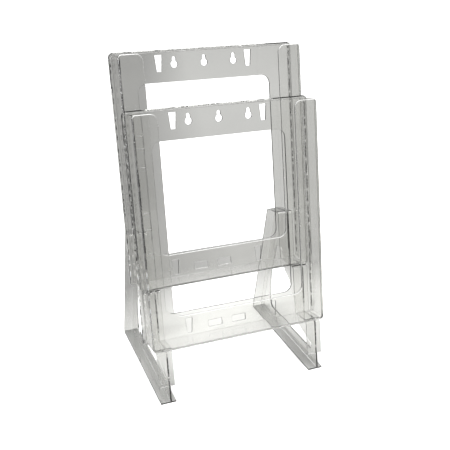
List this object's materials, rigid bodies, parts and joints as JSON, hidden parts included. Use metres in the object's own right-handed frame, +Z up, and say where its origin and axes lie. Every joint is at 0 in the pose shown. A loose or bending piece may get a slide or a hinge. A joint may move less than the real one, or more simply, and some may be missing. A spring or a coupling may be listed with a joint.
{
  "type": "brochure rack",
  "caption": "Clear plastic counter rack for A4 brochures: open-fronted pockets lean back, one above and behind the other, in stepped feet.",
  "frame": {"origin": "on the table, at the centre of the rack's footprint", "axes": "+Z up, +X to the user's right, pockets face -Y"},
  "size_m": [0.24, 0.186, 0.4091],
  "materials": {
    "pocket_sheet": "clear, slightly grey, polished",
    "foot_sheet": "clear, slightly grey, polished"
  },
  "bodies": {
    "feet": {"left_foot_base_strip": "foot_sheet", "left_foot_step_strip": "foot_sheet", "left_foot_web": "foot_sheet", "right_foot_base_strip": "foot_sheet", "right_foot_step_strip": "foot_sheet", "right_foot_web": "foot_sheet"},
    "front_pocket": {"front_pocket_back_panel": "pocket_sheet", "front_pocket_wall_channel": "pocket_sheet", "front_pocket_front_frame": "pocket_sheet"},
    "rear_pocket": {"rear_pocket_back_panel": "pocket_sheet", "rear_pocket_wall_channel": "pocket_sheet", "rear_pocket_front_frame": "pocket_sheet"}
  },
  "joints": [
    {"name": "front_pocket_lift", "type": "slide", "parent": "feet", "child": "front_pocket", "axis": [0, 0.1736, 0.9848], "range_m": [0, 0.1]},
    {"name": "rear_pocket_lift", "type": "slide", "parent": "feet", "child": "rear_pocket", "axis": [0, 0.1736, 0.9848], "range_m": [0, 0.1]}
  ]
}
